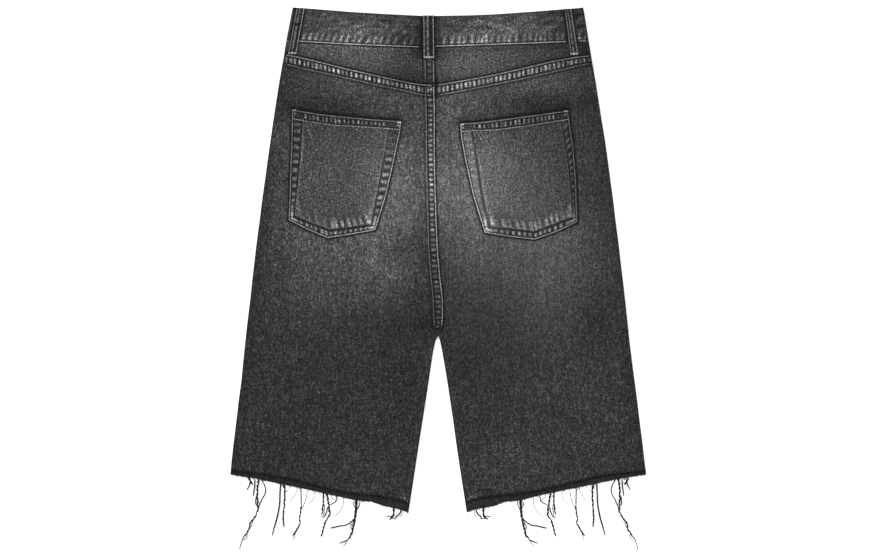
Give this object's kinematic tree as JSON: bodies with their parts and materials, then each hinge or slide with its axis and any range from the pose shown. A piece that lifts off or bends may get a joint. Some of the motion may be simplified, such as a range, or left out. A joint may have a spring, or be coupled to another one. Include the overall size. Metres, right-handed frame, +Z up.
{
  "type": "denim shorts",
  "caption": "Knee-length washed denim shorts with raw hems, laid flat back uppermost: waistband, belt loops, yoke, felled seams, patch pockets, fly front and loose hem threads.",
  "frame": {"origin": "under the middle of the garment's outline, threads included, on the surface that it lies on", "axes": "+X to the wearer's right, +Y towards the waist, +Z up out of the surface, towards the uppermost back"},
  "size_m": [0.5403, 0.7066, 0.009],
  "materials": {
    "denim": "washed charcoal denim twill, worn paler over the seat and along seam edges",
    "denim_front": "washed charcoal denim twill, darker",
    "loose_thread": "loose black cotton yarn",
    "zip_tape": "woven zip tape",
    "button_metal": "dark brushed metal"
  },
  "bodies": {
    "root": {"back_left": "denim", "back_right": "denim", "yoke_left": "denim", "yoke_right": "denim", "pocket_left": "denim", "pocket_right": "denim", "waistband": "denim", "belt_loop_back_centre": "denim", "belt_loop_back_left": "denim", "belt_loop_back_right": "denim", "belt_loop_front_left": "denim", "belt_loop_front_right": "denim", "front_left": "denim_front", "front_right": "denim_front", "pocket_facing_left": "denim_front", "pocket_facing_right": "denim_front", "hem_fringe_left": "loose_thread", "hem_fringe_right": "loose_thread", "fly_zip": "zip_tape", "waist_button": "button_metal"}
  },
  "joints": []
}
